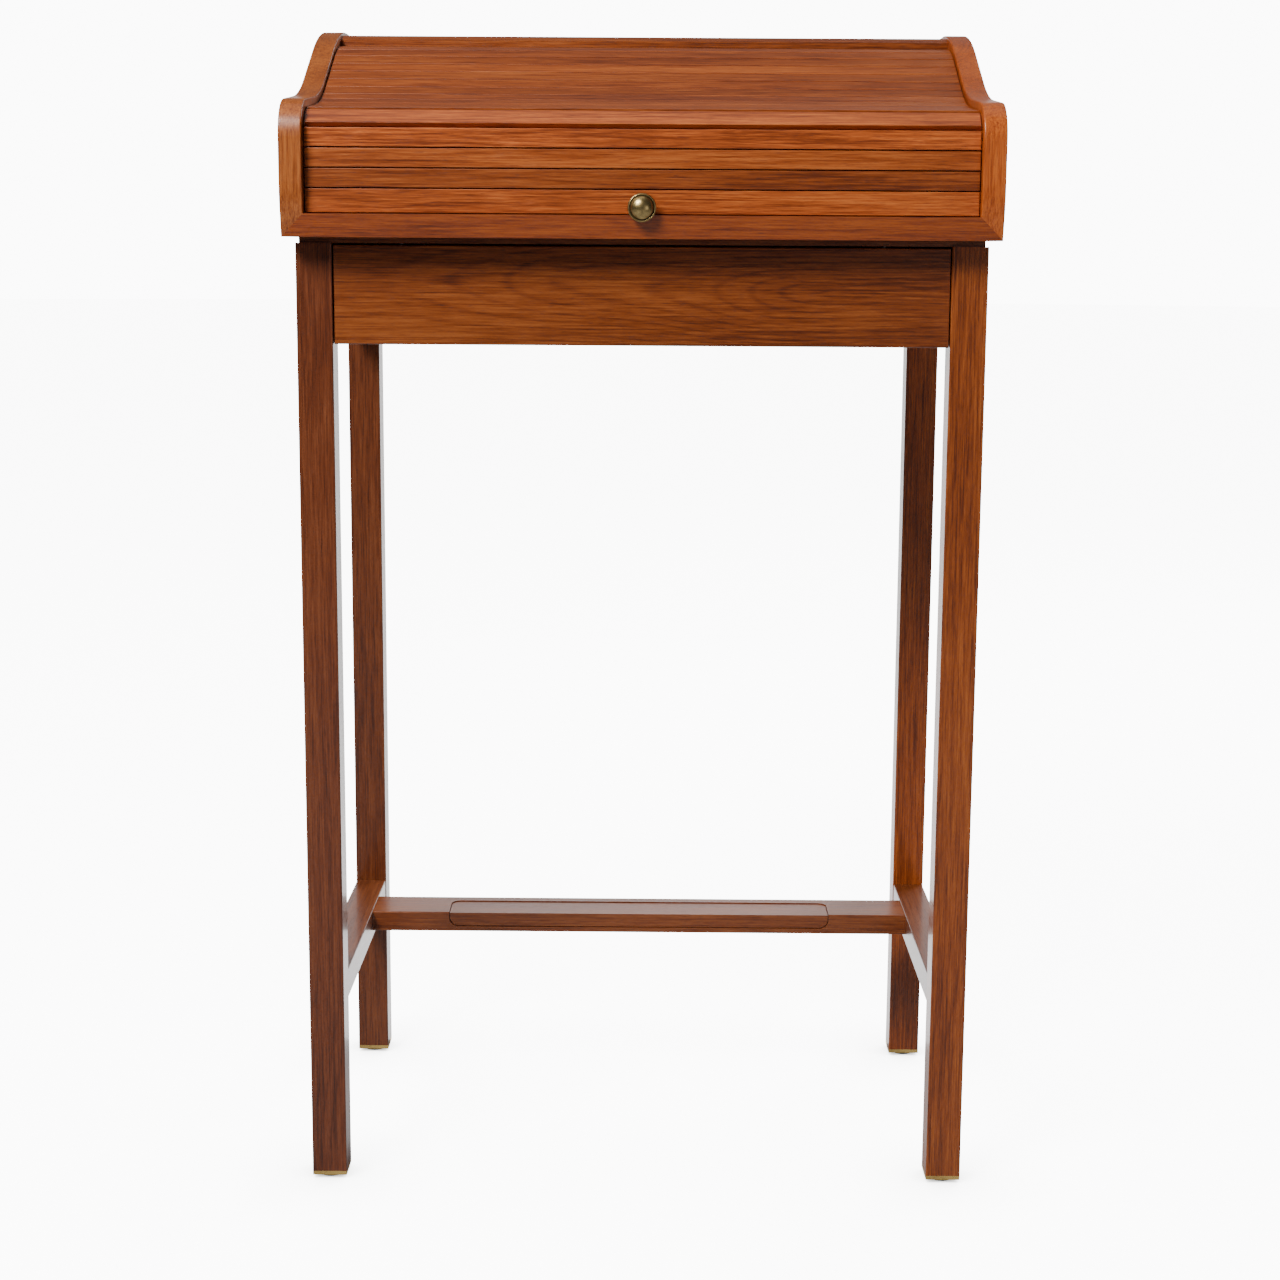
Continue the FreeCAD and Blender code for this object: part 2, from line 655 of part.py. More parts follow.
def make_knob():
    """A turned knob: stem, rim with a groove, and a domed middle, on the face of the lead slat."""
    radius, stem, rim, groove = (size(f"knob_{word}") for word in ("radius", "stem_radius", "rim", "groove"))
    length, stem_length = size("knob_length"), size("knob_stem_length")
    dome_radius = radius - rim
    rim_front = length - rim
    dome_rise = rim + groove
    dome_sphere = (dome_radius ** 2 + dome_rise ** 2) / (2 * dome_rise)
    half_turn = math.asin(dome_radius / dome_sphere) / 2
    points = {
        "back": (0, 0), "base": (size("knob_base_radius"), 0),
        "waist": (stem, stem_length / 2), "neck": (stem, stem_length),
        "shoulder": (radius - rim / 2, stem_length + rim / 2), "edge": (radius, stem_length + rim),
        "bead": (radius - rim / 2, rim_front), "groove": (dome_radius, rim_front - groove),
        "dome": (dome_sphere * math.sin(half_turn), length - dome_sphere * (1 - math.cos(half_turn))),
        "tip": (0, length),
    }
    at = {word: FreeCAD.Vector(r, 0, z) for word, (r, z) in points.items()}
    runs = [Part.LineSegment(at["back"], at["base"]), Part.LineSegment(at["base"], at["waist"]),
            Part.LineSegment(at["waist"], at["neck"]), Part.LineSegment(at["neck"], at["shoulder"]),
            Part.LineSegment(at["shoulder"], at["edge"]), Part.LineSegment(at["edge"], at["bead"]),
            Part.LineSegment(at["bead"], at["groove"]), Part.Arc(at["groove"], at["dome"], at["tip"]),
            Part.LineSegment(at["tip"], at["back"])]
    profile = Part.Face(Part.Wire([run.toShape() for run in runs]))
    turned = profile.revolve(FreeCAD.Vector(0, 0, 0), Z_AXIS, 360)
    screw_radius, bite, loose = size("knob_screw_radius"), size("knob_screw_bite"), size("screw_clearance")
    knob = turned.cut(Part.makeCylinder(screw_radius + loose, bite + loose))
    track = slat_track()
    foot = track.point(0)
    face = size("slat_thickness")
    forward = FreeCAD.Rotation(Z_AXIS, -Y_AXIS)
    centre = FreeCAD.Vector(0, foot.y - face, foot.z + size("knob_height"))
    knob.Placement = FreeCAD.Placement(centre, forward)
    solid_node("knob", knob)
    head_height = size("knob_screw_head_height")
    shank = Part.makeCylinder(screw_radius, face + bite)
    head = Part.makeCylinder(size("knob_screw_head_radius"), head_height, FreeCAD.Vector(0, 0, -head_height))
    screw = shank.fuse(head).removeSplitter()
    screw.Placement = FreeCAD.Placement(centre + Y_AXIS * face, forward)
    solid_node("knob_screw", screw)


# Drawer under the case, on two runners

def make_drawer():
    across = ("-drawer_outer", "drawer_outer")
    groove_floor = "drawer_floor + drawer_bottom_rise"
    groove_levels = (groove_floor, f"{groove_floor} + drawer_bottom_thickness")
    box_front = "drawer_face + drawer_front_thickness"
    inside = "drawer_outer - drawer_side_thickness"
    grooved = (f"{inside} + drawer_groove", f"{box_front} - drawer_groove")
    bottom_depth = (grooved[1], "drawer_back")
    bottom_span = (f"-({grooved[0]})", grooved[0])
    front_levels = ("apron_bottom", "leg_top - drawer_top_gap")
    front = box("drawer_front_board", across, ("drawer_face", box_front), front_levels)
    front = eased("drawer_front_eased", front, X_AXIS, "leg_edge")
    groove = box("drawer_front_groove", bottom_span, bottom_depth, groove_levels)
    node("drawer_front", cut("drawer_front_cut", front, [groove]))
    for side in SIDES:
        name = f"drawer_side_{side}"
        board = box(f"{name}_board", on_side(side, inside, "drawer_outer"), (box_front, "drawer_back"),
                    ("drawer_floor", "drawer_top"))
        groove = box(f"{name}_groove", bottom_span, bottom_depth, groove_levels)
        node(name, cut(f"{name}_cut", board, [groove]))
    back = ("drawer_back - drawer_side_thickness", "drawer_back")
    back_levels = (groove_levels[1], "drawer_top")
    node("drawer_back", box("drawer_back_board", (f"-({inside})", inside), back, back_levels))
    node("drawer_bottom", box("drawer_bottom_board", bottom_span, bottom_depth, groove_levels))
    for side in SIDES:
        name = f"drawer_runner_{side}"
        wall = "leg_outer - apron_inset - apron_thickness"
        ledge = on_side(side, "drawer_outer - runner_ledge", wall)
        guide = on_side(side, "drawer_outer + runner_clearance", wall)
        depth = ("front_leg_back", "rear_leg_face")
        base = box(f"{name}_ledge", ledge, depth, ("apron_bottom", "apron_bottom + runner_height"))
        guide_levels = ("apron_bottom", "apron_bottom + runner_height + runner_guide")
        upright = box(f"{name}_guide", guide, depth, guide_levels)
        node(name, joined(name, [base, upright]))


def check_document():
    """Stops if any object failed to build, or a finished sub-part isn't a sound solid."""
    for item in doc.Objects:
        if {"Invalid", "Error"} & set(item.State):
            raise RuntimeError(f"{item.Name} failed to build: {item.State}")
    for name, finished in nodes:
        shape = finished.Shape
        if shape.isNull() or not shape.isValid() or not shape.Solids:
            raise RuntimeError(f"{name} isn't a sound solid")


def write_parts():
    os.makedirs("parts", exist_ok=True)
    for name, finished in nodes:
        finished.Shape.exportStep(f"parts/{name}.step")


make_rails()
for side in SIDES:
    for end in ("front", "rear"):
        make_leg(side, end)
make_footrest()
case_pilots = make_sub_top()
for side in SIDES:
    make_side_panel(side)
make_bed(case_pilots)
make_back()
make_roof()
make_roll_top()
make_knob()
make_drawer()
doc.recompute()
check_document()
write_parts()

whole = Part.makeCompound([finished.Shape for _, finished in nodes]).optimalBoundingBox()
print(f"{len(nodes)} sub-parts, {whole.XLength:.1f} x {whole.YLength:.1f} x {whole.ZLength:.1f} mm")
print(f"centre {whole.Center.x:.3f} {whole.Center.y:.3f}, lowest point {whole.ZMin:.3f}")
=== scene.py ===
# %% [markdown]
# # A stand-up desk with a roll top
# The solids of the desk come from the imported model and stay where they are. This script adds what
# a model of solids doesn't have: the wood's grain and lacquer, old brass, the turned curves of the
# knob, the light and the camera. All lengths are in metres.

# %% Load the desk
import math

import bpy
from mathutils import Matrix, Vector


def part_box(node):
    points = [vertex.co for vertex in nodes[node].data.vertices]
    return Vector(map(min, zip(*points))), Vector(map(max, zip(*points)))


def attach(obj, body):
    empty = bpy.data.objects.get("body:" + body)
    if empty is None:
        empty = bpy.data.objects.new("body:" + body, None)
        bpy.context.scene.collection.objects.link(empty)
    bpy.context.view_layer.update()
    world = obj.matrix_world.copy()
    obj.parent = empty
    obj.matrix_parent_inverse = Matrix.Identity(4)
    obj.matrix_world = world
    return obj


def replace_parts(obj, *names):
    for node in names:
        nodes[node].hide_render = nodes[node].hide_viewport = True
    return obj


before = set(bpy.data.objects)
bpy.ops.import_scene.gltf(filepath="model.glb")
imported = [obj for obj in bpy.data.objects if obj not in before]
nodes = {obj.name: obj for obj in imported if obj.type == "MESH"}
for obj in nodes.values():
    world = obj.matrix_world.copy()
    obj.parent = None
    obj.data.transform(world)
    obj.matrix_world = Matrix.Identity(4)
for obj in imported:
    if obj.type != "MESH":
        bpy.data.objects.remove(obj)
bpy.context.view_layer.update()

# %% [markdown]
# ## Writing shaders as sums
# Wood is built up from several noises that are added and multiplied. Wrapping a socket in a small
# class lets that be written as plain arithmetic, and each sum adds its own Math node. Every other
# node is added by one method, and the kinds that come up again and again get a short name.


# %% Sockets that can be added and multiplied
class Wire:
    """A number that changes over a surface."""

    def __init__(self, finish, socket):
        self.finish = finish
        self.socket = socket

    def math(self, operation, first, second):
        return self.finish.add("ShaderNodeMath", {"operation": operation}, {0: first, 1: second})

    def __add__(self, other):
        return self.math("ADD", self, other)

    def __radd__(self, other):
        return self.math("ADD", other, self)

    def __sub__(self, other):
        return self.math("SUBTRACT", self, other)

    def __rsub__(self, other):
        return self.math("SUBTRACT", other, self)

    def __mul__(self, other):
        return self.math("MULTIPLY", self, other)

    def __rmul__(self, other):
        return self.math("MULTIPLY", other, self)

    def __pow__(self, other):
        return self.math("POWER", self, other)


class Finish:
    """A material whose nodes are added one at a time."""

    def __init__(self, name):
        self.material = bpy.data.materials.new(name)
        self.material.use_nodes = True
        self.tree = self.material.node_tree
        self.shader = self.tree.nodes["Principled BSDF"]

    def plug(self, socket, value):
        if isinstance(value, Wire):
            self.tree.links.new(value.socket, socket)
        else:
            socket.default_value = value

    def add(self, kind, settings=None, inputs=None, out=0):
        node = self.tree.nodes.new(kind)
        for name, value in (settings or {}).items():
            if name == "stops":
                while len(node.color_ramp.elements) < len(value):
                    node.color_ramp.elements.new(0.5)
                for stop, (place, colour) in zip(node.color_ramp.elements, value):
                    stop.position = place
                    stop.color = (*colour, 1)
            else:
                setattr(node, name, value)
        for name, value in (inputs or {}).items():
            self.plug(node.inputs[name], value)
        return Wire(self, node.outputs[out])

    def place(self):
        return self.add("ShaderNodeTexCoord", out="Object")

    def length(self, vector):
        return self.add("ShaderNodeVectorMath", {"operation": "LENGTH"}, {0: vector}, out="Value")

    def noise(self, place, scale, detail, roughness=0.5):
        return self.add("ShaderNodeTexNoise", inputs={
            "Vector": place, "Scale": scale, "Detail": detail, "Roughness": roughness})

    def between(self, value, start, end):
        """0 at the start, 1 at the end, and held at those outside them."""
        return self.add("ShaderNodeMapRange", {"clamp": True}, {
            "Value": value, "From Min": start, "From Max": end})

    def mix(self, share, first, second):
        """One colour going over into another. Each is a wire or three numbers."""
        first, second = (
            colour if isinstance(colour, Wire) else (*colour, 1) for colour in (first, second))
        return self.add("ShaderNodeMix", {"data_type": "RGBA"}, {
            "Factor": share, 6: first, 7: second}, out=2)

    def relief(self, strength, depth, height):
        return self.add("ShaderNodeBump", inputs={
            "Strength": strength, "Distance": depth, "Height": height})

    def surface(self, **inputs):
        for name, value in inputs.items():
            socket = name.replace("_", " ").title().replace("Ior", "IOR")
            self.plug(self.shader.inputs[socket], value)
        return self.material


def tint(colour, share):
    return [part * share for part in colour]


print("shader helpers ready")

# %% [markdown]
# ## Wood
# The desk is a warm brown hardwood under a satin lacquer. A tree is a stack of cones round its
# heart, so a board shows growth rings as stripes where it was cut far from the heart, and as
# pointed arches where the saw ran close by. A picture of wood would give one board. Here the rings
# are the distance from a heart line that wanders along the board, and finer noises add fibres,
# pores and slow drifts of colour. The heart's place is set for each board.

# %% Grain and growth rings
GRAIN_AXES = {"x": "XYZ", "y": "YXZ", "z": "ZXY"}
# Repeats in a metre along the grain and across it, then detail and roughness.
GRAIN_NOISES = {
    "wander": (1.9, 6, 2.0, 0.55),
    "sway": (2.3, 3, 1.5, 0.55),
    "drift": (1.7, 17, 2.5, 0.55),
    "streaks": (6, 210, 3.0, 0.6),
    "fibres": (16, 620, 3.0, 0.7),
    "strands": (60, 1900, 2.0, 0.6),
    "pores": (95, 2100, 1.0, 0.55),
    "veins": (8, 330, 2.0, 0.55),
    "scuffs": (16, 70, 4.0, 0.7),
}
RING_WIDTH = 0.006
RING_SHARPNESS = 5.0
# How far the heart line strays sideways and in depth, and how far the fibres fray a ring.
SWAY_REACH, WANDER_REACH, RING_FRAY = 0.09, 0.06, 1.4


def grain(finish, board, kind):
    """One of the noises, stretched along the board."""
    along, across, detail, roughness = GRAIN_NOISES[kind]
    stretched = finish.add("ShaderNodeMapping", inputs={
        "Vector": board, "Scale": (along, across, across)})
    return finish.noise(stretched, 1.0, detail, roughness)


def growth_rings(finish, side, deep, noises):
    """Thin lines at even distances from a heart line that wanders."""
    from_heart = finish.add("ShaderNodeCombineXYZ", inputs={
        1: side + (noises["sway"] - 0.5) * SWAY_REACH,
        2: deep + (noises["wander"] - 0.5) * WANDER_REACH})
    turns = finish.length(from_heart) * (2 * math.pi / RING_WIDTH)
    wave = finish.add("ShaderNodeMath", {"operation": "SINE"}, {
        0: turns + (noises["fibres"] - 0.5) * RING_FRAY})
    return (wave * 0.5 + 0.5) ** RING_SHARPNESS


print(len(GRAIN_NOISES), "noises in the wood")

# %% [markdown]
# All of this adds up to one number, the tone, which a colour ramp turns into wood from dark to
# pale. Pale wood is yellower than dark wood, so each end of the ramp changes red, green and blue
# by its own share. Fibres and pores also raise and dent the surface a little, and make it less
# glossy.

# %% Wood along any axis
# Marks that show only where their noise is strong: where they begin, and where they are full.
MARKS = {"pores": (0.6, 0.72), "veins": (0.58, 0.74), "scuffs": (0.6, 0.8)}
# The tone of plain wood, and how strongly each thing darkens or lightens it.
PLAIN_TONE = 0.52
TONES = {
    "rings": 0.2, "veins": 0.25, "scuffs": 0.3,
    "fibres": 1.6, "strands": 0.6, "streaks": 0.6, "drift": 1.2,
}
DARK_SHARES, PALE_SHARES = (0.4, 0.34, 0.4), (1.5, 1.85, 2.4)
DARK_STOP, PLAIN_STOP, PALE_STOP = 0.14, 0.5, 0.86
PORE_DARKNESS, PORE_COVER = 0.35, 0.45
SATIN, LACQUER, LACQUER_ROUGHNESS, LACQUER_IOR = 0.36, 0.3, 0.13, 1.45


def wood_colour(finish, colour, tone, pores):
    """From dark to pale round a board's own colour, with dark pores."""
    dark = [part * share for part, share in zip(colour, DARK_SHARES)]
    pale = [part * share for part, share in zip(colour, PALE_SHARES)]
    stops = [(DARK_STOP, dark), (PLAIN_STOP, colour), (PALE_STOP, pale)]
    ramp = finish.add("ShaderNodeValToRGB", {"stops": stops}, {0: tone})
    return finish.mix(pores * PORE_COVER, ramp, tint(dark, PORE_DARKNESS))


def wood(name, run, colour, heart, shift, figure, cloudy, wear,
         gloss=SATIN, coat=LACQUER, lean=0.0):
    """A wood whose grain runs along one axis. The heart is a place across the other two."""
    finish = Finish(name)
    place = finish.place()
    along, side, deep = (
        finish.add("ShaderNodeSeparateXYZ", inputs={0: place}, out=axis)
        for axis in GRAIN_AXES[run])
    side, deep = side - heart[0], deep - heart[1]
    board = finish.add("ShaderNodeCombineXYZ", inputs={0: along + shift, 1: side, 2: deep})
    noises = {kind: grain(finish, board, kind) for kind in GRAIN_NOISES}
    rings = growth_rings(finish, side + along * lean, deep, noises)
    pores, veins, scuffs = (finish.between(noises[mark], *MARKS[mark]) for mark in MARKS)
    scuffs = scuffs * wear
    fibres, strands = noises["fibres"], noises["strands"]
    tone = (
        PLAIN_TONE - rings * (TONES["rings"] * figure)
        - veins * TONES["veins"] + scuffs * TONES["scuffs"]
        + (fibres - 0.5) * TONES["fibres"] + (strands - 0.5) * TONES["strands"]
        + (noises["streaks"] - 0.5) * (TONES["streaks"] * cloudy)
        + (noises["drift"] - 0.5) * (TONES["drift"] * cloudy))
    return finish.surface(
        base_color=wood_colour(finish, colour, tone, pores),
        roughness=gloss + (fibres - 0.5) * 0.22 + pores * 0.15 + scuffs * 0.12,
        normal=finish.relief(0.14, 0.0004, fibres * 0.6 + strands * 0.4 - pores * 0.5),
        coat_weight=coat, coat_roughness=LACQUER_ROUGHNESS, ior=LACQUER_IOR)


def clothe(node, material):
    nodes[node].data.materials.clear()
    nodes[node].data.materials.append(material)


print("wood ready")

# %% [markdown]
# ## Which way the grain runs
# A joiner lays the grain along the length of a piece: up the legs, across the slats and the bed,
# and front to back along the side rails. The heart of the drawer front's tree lies just behind its
# face and slants along it, which draws the arches there. The bed, the foot rail and the legs were
# cut well away from it and show stripes. Each board comes from another stretch of the tree, so no
# two are alike.

# %% Case and base
CASE, WARM_CASE, PALE_CASE = (0.23, 0.046, 0.0045), (0.27, 0.064, 0.009), (0.34, 0.062, 0.0052)
BED, DRAWER, RAIL = (0.235, 0.039, 0.0022), (0.185, 0.038, 0.0045), (0.17, 0.038, 0.0066)
LEG, DARK_LEG = (0.13, 0.029, 0.0055), (0.13, 0.028, 0.006)
# The right rear leg's colour is paler than the other legs': painted light, making up for the light
# the case keeps off it.
PALE_LEG, PAINTED_LIT_REAR_LEG = (0.255, 0.053, 0.006), (0.3, 0.06, 0.006)
BOARD_STEP = 1.37
DRAWER_LEAN = 0.1
# The grain's axis, the colour, how far the heart is from the board's middle in the two directions
# across the grain, and how strong the rings are.
BOARDS = {
    "bed": ("x", BED, 0.09, 0.2, 0.3),
    "roof_board": ("x", CASE, 0.1, 0.12, 0.3),
    "back_panel": ("x", CASE, 0.03, 0.02, 0.7),
    "drawer_front": ("x", DRAWER, 0.02, 0.008, 0.8),
    "side_panel_left": ("z", WARM_CASE, 0.03, 0.05, 0.5),
    "side_panel_right": ("z", PALE_CASE, -0.03, 0.04, 0.5),
    "rear_apron": ("x", LEG, 0.03, 0.02, 0.6),
    "footrest": ("x", RAIL, 0.07, 0.1, 0.3),
    "foot_pad": ("x", RAIL, 0.08, 0.09, 0.3),
    "sub_top": ("x", LEG, 0.1, 0.1, 0.3),
    "side_apron_left": ("y", LEG, 0.03, 0.03, 0.6),
    "side_apron_right": ("y", LEG, -0.03, 0.03, 0.6),
    "side_stretcher_left": ("y", LEG, 0.06, 0.08, 0.3),
    "side_stretcher_right": ("y", LEG, -0.06, 0.08, 0.3),
    "leg_front_left": ("z", DARK_LEG, 0.15, 0.18, 0.5),
    "leg_front_right": ("z", PALE_LEG, -0.12, 0.15, 0.6),
    "leg_rear_left": ("z", LEG, 0.16, 0.19, 0.3),
    "leg_rear_right": ("z", PAINTED_LIT_REAR_LEG, -0.15, 0.18, 0.3),
}


def heart_of(node, run, side, deep):
    """A heart line at a distance from the middle of a piece, across its grain."""
    low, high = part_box(node)
    middle = dict(zip("XYZ", (low + high) / 2))
    return middle[GRAIN_AXES[run][1]] + side, middle[GRAIN_AXES[run][2]] + deep


for number, (node, (run, colour, side, deep, figure)) in enumerate(BOARDS.items()):
    heart = heart_of(node, run, side, deep)
    clothe(node, wood(
        f"wood_{node}", run, colour, heart, number * BOARD_STEP, figure, cloudy=0.75, wear=0.5,
        lean=DRAWER_LEAN if node == "drawer_front" else 0.0))
print(len(BOARDS), "boards of the case and base clothed")

# %% [markdown]
# The slats were sawn from several boards and have aged apart: four of the lower ones, the lead
# slat among them, are bright. The slats over the bend are darker, partly from the wood and partly
# as painted shade that holds back the light falling on the slope. Each gets its own tone, its own
# heart and its own stretch of the tree.

# %% Slats
SLAT = (0.345, 0.069, 0.0085)
# From the lead slat up, and over the bend to the last one behind. The darker tones over the bend
# are partly painted shade on the slope.
SLAT_TONES_AND_SLOPE_SHADE = [
    1.03, 0.67, 0.83, 1.27, 0.97, 0.66, 0.72, 0.62, 0.75, 0.69,
    0.77, 0.64, 0.73, 0.67, 0.76, 0.66, 0.72, 0.74, 0.65, 0.72,
]
SLAT_START, SLAT_STEP = 31, 2.11
slat_names = ["lead_slat"] + sorted(name for name in nodes if name.startswith("slat_"))
for number, (node, tone) in enumerate(zip(slat_names, SLAT_TONES_AND_SLOPE_SHADE)):
    heart = heart_of(node, "x", 0.16 + 0.011 * (number % 4), 0.17 + 0.013 * (number % 3))
    clothe(node, wood(
        f"wood_{node}", "x", tint(SLAT, tone), heart, number * SLAT_STEP + SLAT_START,
        figure=0.4, cloudy=0.9, wear=1.0))
print(len(slat_names), "slats clothed")

# %% [markdown]
# Inside, the drawer is made of a pale plain wood that was never lacquered.

# %% Drawer lining
LINING = (0.44, 0.25, 0.1)
LINING_START, LINING_STEP = 80, 1.9
LINING_BOARDS = {
    "drawer_side_left": "y", "drawer_side_right": "y", "drawer_back": "x", "drawer_bottom": "x",
    "drawer_runner_left": "y", "drawer_runner_right": "y",
}
for number, (node, run) in enumerate(LINING_BOARDS.items()):
    clothe(node, wood(
        f"lining_{node}", run, LINING, heart_of(node, run, 0.05, 0.09),
        number * LINING_STEP + LINING_START,
        figure=0.8, cloudy=0.6, wear=0.0, gloss=0.55, coat=0.0))
print(len(bpy.data.materials), "materials so far")

# %% [markdown]
# ## Metal and plastic
# The foot plates are bright brass that has dulled in patches. The glides are dark plastic with a
# fine texture. The screws are steel. Each needs only a noise or two.


# %% Brass, steel and plastic
def metal(name, clean, dull, smooth, rough, patch, cover):
    """A metal that has dulled in patches of a given size."""
    finish = Finish(name)
    place = finish.place()
    cloud = finish.noise(place, 1 / patch, 5.0, 0.7)
    speck = finish.noise(place, 9 / patch, 3.0)
    worn = finish.between(
        cloud + (speck - 0.5) * 0.3, 0.62 - cover * 0.4, 0.74 - cover * 0.2)
    return finish.surface(
        base_color=finish.mix(worn, clean, dull), metallic=1.0,
        roughness=smooth + worn * (rough - smooth),
        normal=finish.relief(0.12, 0.0002, speck + cloud))


def plastic(name, colour):
    """A moulded plastic with a fine even texture."""
    finish = Finish(name)
    texture = finish.noise(finish.place(), 2400.0, 2.0)
    return finish.surface(
        base_color=finish.mix(texture, tint(colour, 0.7), tint(colour, 1.4)),
        roughness=0.5 + texture * 0.2, normal=finish.relief(0.2, 0.0002, texture))


plate_brass = metal(
    "plate_brass", clean=(0.85, 0.58, 0.2), dull=(0.5, 0.32, 0.1),
    smooth=0.26, rough=0.45, patch=0.012, cover=0.15)
screw_steel = metal(
    "screw_steel", clean=(0.5, 0.5, 0.5), dull=(0.3, 0.3, 0.31),
    smooth=0.28, rough=0.5, patch=0.004, cover=0.3)
glide_black = plastic("glide_black", (0.03, 0.027, 0.025))
for node in nodes:
    if node.startswith("foot_plate"):
        clothe(node, plate_brass)
    elif node.startswith("glide"):
        clothe(node, glide_black)
    elif node in ("case_screws", "knob_screw"):
        clothe(node, screw_steel)
print("metal and plastic set")

# %% [markdown]
# ## The knob
# The real knob is turned brass: a waisted stem, a rolled rim, a dark groove and a domed middle. In
# the solids it is a few straight turns. Here a profile is drawn as a chain of extruded points and
# spun round the knob's axis, which is how a lathe makes it.

# %% Turn the knob
low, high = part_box("knob")
axis_x, axis_z = (low.x + high.x) / 2, (low.z + high.z) / 2
face_y, tip_y = high.y, low.y
knob_radius = (high.x - low.x) / 2
knob_length = face_y - tip_y
# Radius and distance from the slat, as shares of the knob's own radius and length.
KNOB_STEM = [
    (0.0, 0.0), (0.44, 0.0), (0.445, 0.02), (0.435, 0.06), (0.41, 0.12), (0.4, 0.24), (0.405, 0.34)]
KNOB_RIM = [
    (0.5, 0.41), (0.72, 0.455), (0.92, 0.5), (0.985, 0.545), (1.0, 0.6), (0.995, 0.655),
    (0.96, 0.7), (0.925, 0.715)]
KNOB_GROOVE = [(0.895, 0.71), (0.865, 0.685), (0.84, 0.68), (0.82, 0.7)]
KNOB_DOME = [
    (0.8, 0.735), (0.72, 0.8), (0.6, 0.875), (0.44, 0.94), (0.26, 0.98), (0.1, 0.998), (0.0, 1.0)]
KNOB_STEPS = 64
profile = [
    Vector((axis_x + share * knob_radius, face_y - reach * knob_length, axis_z))
    for share, reach in KNOB_STEM + KNOB_RIM + KNOB_GROOVE + KNOB_DOME]
bpy.ops.object.select_all(action="DESELECT")
bpy.ops.mesh.primitive_plane_add(size=0.001)
knob = bpy.context.object
knob.name = "knob_turned"
bpy.ops.object.mode_set(mode="EDIT")
bpy.ops.mesh.merge(type="CENTER")
bpy.ops.transform.translate(value=profile[0])
for before, after in zip(profile, profile[1:]):
    bpy.ops.mesh.extrude_region_move(TRANSFORM_OT_translate={"value": after - before})
bpy.ops.mesh.select_all(action="SELECT")
bpy.ops.mesh.spin(
    steps=KNOB_STEPS, angle=2 * math.pi, center=(axis_x, face_y, axis_z), axis=(0, 1, 0))
bpy.ops.mesh.select_all(action="SELECT")
bpy.ops.mesh.remove_doubles(threshold=0.00001)
bpy.ops.mesh.normals_make_consistent(inside=False)
bpy.ops.object.mode_set(mode="OBJECT")
bpy.ops.object.shade_smooth()
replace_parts(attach(knob, "roll_lead"), "knob")
print("knob", len(knob.data.polygons), "faces")

# %% [markdown]
# Old brass goes dark where a cloth can't reach. The distance from the knob's axis picks out the
# groove, and a noise breaks up the tarnish on the dome.

# %% Tarnish the knob
BRASS, DIRT = (0.5, 0.36, 0.15), (0.06, 0.04, 0.016)
finish = Finish("knob_brass")
place = finish.place()
centred = finish.add("ShaderNodeMapping", inputs={
    "Vector": place, "Location": (-axis_x, 0, -axis_z), "Scale": (1, 0, 1)})
radius = finish.length(centred)
outer = finish.between(radius, knob_radius * 0.9, knob_radius * 0.86)
inner = finish.between(radius, knob_radius * 0.73, knob_radius * 0.82)
cloud = finish.noise(place, 210.0, 5.0, 0.7)
speck = finish.noise(place, 1500.0, 2.0)
tarnish = finish.between(cloud + (speck - 0.5) * 0.4, 0.38, 0.7)
dirt = finish.add("ShaderNodeMath", {"operation": "MAXIMUM"}, {0: outer * inner, 1: tarnish * 0.55})
knob.data.materials.append(finish.surface(
    base_color=finish.mix(dirt, BRASS, DIRT), metallic=1.0,
    roughness=0.26 + dirt * 0.3, normal=finish.relief(0.15, 0.0002, speck + cloud)))
print("knob tarnished")

# %% [markdown]
# ## Floor and surroundings
# The desk stands on white, with white all round. White that is bright enough to look white would
# also shine back from the lacquer and wash out the wood. So the bright floor and sky are seen by
# the camera alone, and a duller floor just under it gives the soft light. The floor's glow is
# darkened a little where something stands on it, a painted contact shadow.


# %% Floor and sky
# How far from other things the glow is darkened, as a painted contact shadow.
PAINTED_SHADOW_REACH = 0.12
FLOOR_RADIUS, SKY_RADIUS = 39, 40
FLOOR_GAP = 0.002


def backdrop(name, paint, glow, camera=False, bounce=False, mirror=False):
    """Make the object just added a backdrop for the camera, soft light or reflections."""
    piece = bpy.context.object
    piece.name = name
    finish = Finish(name)
    # An occlusion node darkens the glow near anything close by: a painted contact shadow.
    painted_contact_shadow = finish.add("ShaderNodeAmbientOcclusion", inputs={"Distance": PAINTED_SHADOW_REACH}, out="AO")
    shade = finish.add("ShaderNodeCombineColor", inputs={0: painted_contact_shadow, 1: painted_contact_shadow, 2: painted_contact_shadow})
    piece.data.materials.append(finish.surface(
        base_color=(paint, paint, paint, 1), roughness=0.9,
        emission_color=shade, emission_strength=glow))
    piece.visible_camera, piece.visible_diffuse, piece.visible_glossy = camera, bounce, mirror
    piece.visible_shadow = False


def floor(height):
    bpy.ops.mesh.primitive_circle_add(
        vertices=96, radius=FLOOR_RADIUS, fill_type="NGON", location=(0, 0, height))


bpy.ops.object.select_all(action="DESELECT")
floor(0)
backdrop("white_floor", paint=0.9, glow=10.0, camera=True)
floor(-FLOOR_GAP)
backdrop("dull_floor", paint=0.34, glow=0.0, bounce=True, mirror=True)
bpy.ops.mesh.primitive_uv_sphere_add(segments=48, ring_count=24, radius=SKY_RADIUS)
backdrop("white_sky", paint=0.0, glow=11.0, camera=True)
print("floor and sky set")

# %% [markdown]
# What the lacquer mirrors is set up apart, from cards that are seen only in reflections. A bright
# card and a narrow stretch of floor behind the desk put the white glare on the inner faces of the
# legs, with a dimmer stretch between the feet. A pale wall lights up the top of the foot rail,
# with a grey one above it, and a pale ceiling lights up the bend of the roll top.

